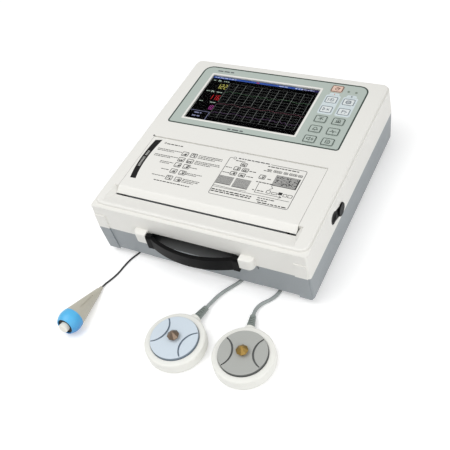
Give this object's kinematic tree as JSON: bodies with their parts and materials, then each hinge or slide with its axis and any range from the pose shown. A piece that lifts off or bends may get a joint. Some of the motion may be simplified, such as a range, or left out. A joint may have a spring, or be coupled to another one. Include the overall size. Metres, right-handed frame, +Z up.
{
  "type": "fetal doppler monitor",
  "caption": "Desk-top fetal monitor with a screen and key panel, a chart printer under a hinged door, a swing-out carrying handle, ultrasound probes and a push-button event marker on leads.",
  "frame": {"origin": "middle of the whole footprint on the floor, from the front of the probes to the tip of the rear ground post", "axes": "+Y from the probes through the case to its rear panel, +X to the keys' side, +Z up"},
  "size_m": [0.2972, 0.5346, 0.0934],
  "materials": {
    "housing_white": "fine moulded satin, warm white",
    "base_grey": "fine moulded satin, blue-grey",
    "panel_green": "printed membrane, satin",
    "glass": "clear flat",
    "display": "lit display",
    "key_plastic": "satin key caps",
    "light_green": "clear lens",
    "rubber_black": "matt rubber",
    "rubber_grey": "matt rubber",
    "steel": "bright steel",
    "black_plastic": "matt black",
    "grey_plastic": "satin grey",
    "board_green": "circuit board",
    "module_metal": "folded metal case",
    "battery_wrap": "shrink wrap",
    "paper": "folded paper",
    "brass": "turned, satin",
    "disc_blue": "light blue satin",
    "disc_grey": "grey satin",
    "stud_brown": "facetted, brown",
    "marker_blue": "glossy blue",
    "button_cream": "glossy cream",
    "lead_grey": "flexible jacket, grey"
  },
  "bodies": {
    "case": {"battery_pack": "battery_wrap", "case_screws": "steel", "display_module": "display", "ground_post": "brass", "key_board": "board_green", "key_panel": "panel_green", "lower_case": "base_grey", "main_board": "board_green", "mains_inlet": "black_plastic", "marker_body": "housing_white", "marker_coil": "rubber_black", "marker_collar": "marker_blue", "marker_lead": "rubber_black", "marker_plug": "black_plastic", "marker_ring": "black_plastic", "paper_pack": "paper", "paper_tray": "grey_plastic", "power_supply": "module_metal", "printer_motor": "module_metal", "probe_1_boot": "rubber_grey", "probe_1_coil": "lead_grey", "probe_1_disc": "disc_blue", "probe_1_housing": "housing_white", "probe_1_plug": "grey_plastic", "probe_1_stud": "stud_brown", "probe_2_boot": "rubber_grey", "probe_2_coil": "lead_grey", "probe_2_disc": "disc_grey", "probe_2_housing": "housing_white", "probe_2_plug": "grey_plastic", "probe_2_stud": "brass", "probe_lead_1": "lead_grey", "probe_lead_2": "lead_grey", "rear_sockets": "grey_plastic", "rubber_feet": "rubber_black", "screen_glass": "glass", "speaker": "black_plastic", "status_lights": "light_green", "upper_case": "housing_white"},
    "platen": {"platen_roller": "rubber_black", "roller_shaft": "steel", "roller_gear": "black_plastic"},
    "motor_gear": {"motor_pinion": "brass"},
    "door": {"printer_door": "housing_white", "door_hinge_pins": "steel", "print_head": "module_metal"},
    "release": {"door_release": "black_plastic"},
    "handle": {"carry_handle": "black_plastic"},
    "marker_switch": {"marker_button": "button_cream"},
    "key_01_cap": {"key_01": "key_plastic"},
    "key_02_cap": {"key_02": "key_plastic"},
    "key_03_cap": {"key_03": "key_plastic"},
    "key_04_cap": {"key_04": "key_plastic"},
    "key_05_cap": {"key_05": "key_plastic"},
    "key_06_cap": {"key_06": "key_plastic"},
    "key_07_cap": {"key_07": "key_plastic"},
    "key_08_cap": {"key_08": "key_plastic"},
    "key_09_cap": {"key_09": "key_plastic"},
    "key_10_cap": {"key_10": "key_plastic"},
    "power_key_cap": {"power_key": "key_plastic"}
  },
  "joints": [
    {"name": "platen_turn", "type": "hinge", "parent": "case", "child": "platen", "pos_m": [0, -0.0416, 0.077], "axis": [1, 0, 0], "continuous": true},
    {"name": "motor_turn", "type": "hinge", "parent": "case", "child": "motor_gear", "pos_m": [0.11, -0.03372, 0.06336], "axis": [1, 0, 0], "continuous": true},
    {"name": "door_open", "type": "hinge", "parent": "case", "child": "door", "pos_m": [-0.0022, 0.047, 0.09], "axis": [-1, 0, 0], "range_deg": [0, 95]},
    {"name": "handle_swing", "type": "hinge", "parent": "case", "child": "handle", "pos_m": [-0.0024, -0.09155, 0.0614], "axis": [-1, 0, 0], "range_deg": [0, 95]},
    {"name": "release_press", "type": "slide", "parent": "case", "child": "release", "axis": [-1, 0, 0], "range_m": [0, 0.003], "stiffness_N_per_m": 500, "springref_m": -0.001},
    {"name": "marker_press", "type": "slide", "parent": "case", "child": "marker_switch", "axis": [0.0222, 0.98, -0.1979], "range_m": [0, 0.0025], "stiffness_N_per_m": 600, "springref_m": -0.001},
    {"name": "key_01_press", "type": "slide", "parent": "case", "child": "key_01_cap", "axis": [0, 0, -1], "range_m": [0, 0.0008], "stiffness_N_per_m": 900, "springref_m": -0.0005},
    {"name": "key_02_press", "type": "slide", "parent": "case", "child": "key_02_cap", "axis": [0, 0, -1], "range_m": [0, 0.0008], "stiffness_N_per_m": 900, "springref_m": -0.0005},
    {"name": "key_03_press", "type": "slide", "parent": "case", "child": "key_03_cap", "axis": [0, 0, -1], "range_m": [0, 0.0008], "stiffness_N_per_m": 900, "springref_m": -0.0005},
    {"name": "key_04_press", "type": "slide", "parent": "case", "child": "key_04_cap", "axis": [0, 0, -1], "range_m": [0, 0.0008], "stiffness_N_per_m": 900, "springref_m": -0.0005},
    {"name": "key_05_press", "type": "slide", "parent": "case", "child": "key_05_cap", "axis": [0, 0, -1], "range_m": [0, 0.0008], "stiffness_N_per_m": 900, "springref_m": -0.0005},
    {"name": "key_06_press", "type": "slide", "parent": "case", "child": "key_06_cap", "axis": [0, 0, -1], "range_m": [0, 0.0008], "stiffness_N_per_m": 900, "springref_m": -0.0005},
    {"name": "key_07_press", "type": "slide", "parent": "case", "child": "key_07_cap", "axis": [0, 0, -1], "range_m": [0, 0.0008], "stiffness_N_per_m": 900, "springref_m": -0.0005},
    {"name": "key_08_press", "type": "slide", "parent": "case", "child": "key_08_cap", "axis": [0, 0, -1], "range_m": [0, 0.0008], "stiffness_N_per_m": 900, "springref_m": -0.0005},
    {"name": "key_09_press", "type": "slide", "parent": "case", "child": "key_09_cap", "axis": [0, 0, -1], "range_m": [0, 0.0008], "stiffness_N_per_m": 900, "springref_m": -0.0005},
    {"name": "key_10_press", "type": "slide", "parent": "case", "child": "key_10_cap", "axis": [0, 0, -1], "range_m": [0, 0.0008], "stiffness_N_per_m": 900, "springref_m": -0.0005},
    {"name": "power_key_press", "type": "slide", "parent": "case", "child": "power_key_cap", "axis": [0, 0, -1], "range_m": [0, 0.0008], "stiffness_N_per_m": 900, "springref_m": -0.0005}
  ],
  "couplings": [
    {"joint": "motor_turn", "follows": "platen_turn", "ratio": -2}
  ]
}
